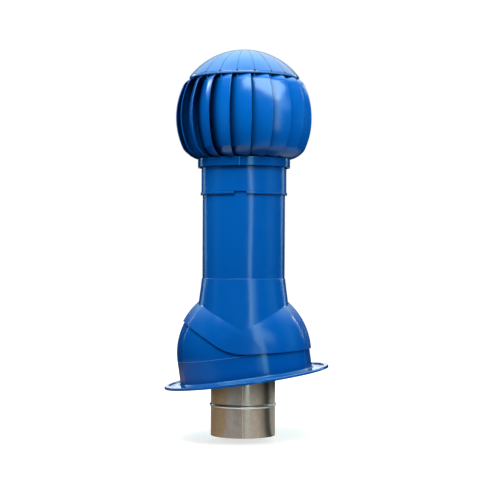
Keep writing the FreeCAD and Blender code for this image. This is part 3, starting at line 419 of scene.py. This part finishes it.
def floor_material():
    """White to the camera with the object's shadow, and a dim workshop ground in the object's gloss."""
    material, tree, place = new_material("pale_floor")
    path = tree.add("ShaderNodeLightPath").outputs
    distance = tree.length(place)
    # A warm white, which the cool lights turn to plain white
    pale = tree.mix(tree.noise(place, 1.2, 3.0), (0.64, 0.42, 0.42), (0.67, 0.44, 0.44))
    bounce = tree.mix(path["Is Camera Ray"], (0.07, 0.07, 0.075), pale)
    plain = tree.add("ShaderNodeBsdfDiffuse", {"Color": bounce}).outputs[0]
    # To the camera the floor also glows, most of all farther off, so that it stays white in the soft light
    glow_share = tree.ease(distance, 0.25, 1.1, 0.70, 1.05)
    glow = tree.add("ShaderNodeEmission", {"Color": WHITE, "Strength": glow_share}).outputs[0]
    white = tree.add("ShaderNodeAddShader", {0: plain, 1: glow}).outputs[0]
    shown = tree.switch(path["Is Camera Ray"], plain, white)
    # In the gloss: the ground near by at a low angle or close to the pipe, dim farther off
    x, y, _ = tree.split(place)
    turn = tree.math("ARCTAN2", x, tree.product(y, -1.0))
    ground = tree.ramp(tree.remap(turn, -math.pi, math.pi), GROUND_ROUND)
    _, _, steep = tree.split(tree.add("ShaderNodeNewGeometry").outputs["Incoming"])
    near = tree.product(tree.ease(distance, 0.80, 1.20, 1.0, 0.04), tree.ease(steep, 0.22, 0.36, 1.0, 0.05))
    near = tree.math("MAXIMUM", near, tree.ease(distance, 0.08, 0.20, 1.0, 0.0))
    ground = tree.mix(near, BLACK, ground)
    # Seen from steeply above it is pale, warm under the pipe and cool under the head
    under = tree.product(tree.ease(steep, 0.52, 0.78), 1.6)
    pale_under = tree.mix(tree.ease(distance, 0.16, 0.22), (1.0, 0.94, 0.86), (0.8, 1.0, 1.05))
    ground = tree.mix(1.0, ground, tree.mix(under, BLACK, pale_under), "ADD")
    dim = tree.add("ShaderNodeEmission", {"Color": ground, "Strength": 1.0}).outputs[0]
    both = tree.switch(path["Is Glossy Ray"], shown, dim)
    tree.add("ShaderNodeOutputMaterial", {0: both})
    return material


def pale_floor():
    """A wide flat floor."""
    data = bpy.data.meshes.new("floor")
    signs = [(-1, -1), (1, -1), (1, 1), (-1, 1)]
    corners = [(x * FLOOR_HALF, y * FLOOR_HALF, FLOOR_LEVEL) for x, y in signs]
    data.from_pydata(corners, [], [(0, 1, 2, 3)])
    floor = bpy.data.objects.new("floor", data)
    bpy.context.scene.collection.objects.link(floor)
    data.materials.append(floor_material())


def studio_gloss(tree, way):
    """What the gloss sees: a dim room, a sky brightest overhead, a lamp in front and two strips behind."""
    x, y, z = tree.split(way)
    sky = tree.product(tree.ease(z, 0.16, 0.66), tree.ease(y, -0.40, 0.1), tree.ease(x, -0.98, -0.40),
                       tree.ease(x, 0.45, 0.98, 1.0, 0.0))
    sky_colour = tree.mix(tree.remap(x, -0.2, 0.5), SKY_LEFT, SKY_RIGHT)
    sky_colour = tree.mix(tree.ease(z, 0.60, 0.95), sky_colour, SKY_TOP)
    lamp_way = tree.add("ShaderNodeVectorMath", {0: way, 1: (0.43, -0.84, 0.33)}, operation="DISTANCE")
    lamp = tree.ease(lamp_way.outputs["Value"], 0.04, 0.26, 1.0, 0.0)
    aside = tree.math("ABSOLUTE", tree.math("SUBTRACT", tree.math("ABSOLUTE", x), 0.72))
    strips = tree.product(tree.ease(aside, 0.02, 0.06, 1.0, 0.0), tree.remap(y, 0.0, 0.1),
                          tree.ease(z, 0.42, 0.55, 1.0, 0.0))
    strip_colour = tree.mix(tree.ease(z, 0.08, 0.16), STRIP_FOOT, STRIP)
    gloss = tree.mix(sky, DIM_ROOM, sky_colour)
    gloss = tree.mix(lamp, gloss, LAMP)
    gloss = tree.mix(strips, gloss, strip_colour)
    return tree.mix(tree.ease(y, 0.97, 0.998), gloss, FAR_BEHIND)


def studio_world():
    """White to the camera, soft white from above for the diffuse light, and a studio seen in the gloss."""
    world = bpy.data.worlds.new("studio")
    bpy.context.scene.world = world
    tree = Tree(world)
    way = tree.add("ShaderNodeTexCoord").outputs["Generated"]
    _, _, z = tree.split(way)
    soft = tree.remap(z, -0.1, 1.0, 0.03, 0.2)
    path = tree.add("ShaderNodeLightPath").outputs
    diffuse = tree.add("ShaderNodeBackground", {"Color": WHITE, "Strength": soft}).outputs[0]
    gloss = tree.add("ShaderNodeBackground", {"Color": studio_gloss(tree, way), "Strength": 1.0}).outputs[0]
    shown = tree.add("ShaderNodeBackground", {"Color": WHITE, "Strength": 1.0}).outputs[0]
    lit = tree.switch(path["Is Glossy Ray"], diffuse, gloss)
    tree.add("ShaderNodeOutputWorld", {0: tree.switch(path["Is Camera Ray"], lit, shown)})


def area_light(name, place, target, size, power, colour, in_gloss=False, roll=0.0):
    """A rectangular soft light that looks at a target, rolled about that line."""
    data = bpy.data.lights.new(name, "AREA")
    data.shape = "RECTANGLE"
    data.size, data.size_y = size
    data.energy = power
    data.color = colour
    light = bpy.data.objects.new(name, data)
    light.location = place
    aim = (Vector(target) - Vector(place)).to_track_quat("-Z", "Y")
    light.rotation_euler = (aim @ Quaternion((0.0, 0.0, 1.0), math.radians(roll))).to_euler()
    light.visible_glossy = in_gloss
    light.visible_camera = False
    bpy.context.scene.collection.objects.link(light)


pipe_seam()
pale_floor()
studio_world()

# A tall strip right of the camera and a window above it, seen in the gloss, and cool soft lights round about
TUBE_TARGET = (0.0, 0.0, 0.4)
area_light("strip", (0.58, -2.1, 0.55), (0.0, 0.0, 0.35), (0.46, 2.4), 11.0, STRIP_LIGHT, in_gloss=True)
area_light("window", (-0.15, -1.0, 1.65), (0.0, 0.0, 0.5), (2.0, 0.9), 60.0, WINDOW_LIGHT, in_gloss=True,
           roll=-20.0)
area_light("side_left", (-1.8, -0.3, 0.6), TUBE_TARGET, (0.9, 0.9), 11.0, COOL_LIGHT)
area_light("side_right", (1.8, -0.3, 0.6), TUBE_TARGET, (0.9, 0.9), 15.0, COOL_LIGHT)
area_light("back", (0.4, 1.8, 1.1), TUBE_TARGET, (1.2, 1.2), 24.0, COOL_LIGHT)

# The camera stands level with the tube, looks along +Y and is turned a little about its line of sight
view = bpy.data.cameras.new("camera")
view.lens = 100.0
view.sensor_width = 36.0
view.shift_y = 14.0 / 486.0
camera = bpy.data.objects.new("camera", view)
camera.location = (-0.0012, -2.62, 0.2345)
camera.rotation_euler = (math.radians(90.0), math.radians(-0.25), 0.0)
bpy.context.scene.collection.objects.link(camera)
bpy.context.scene.camera = camera

bpy.context.scene.view_settings.view_transform = "Standard"
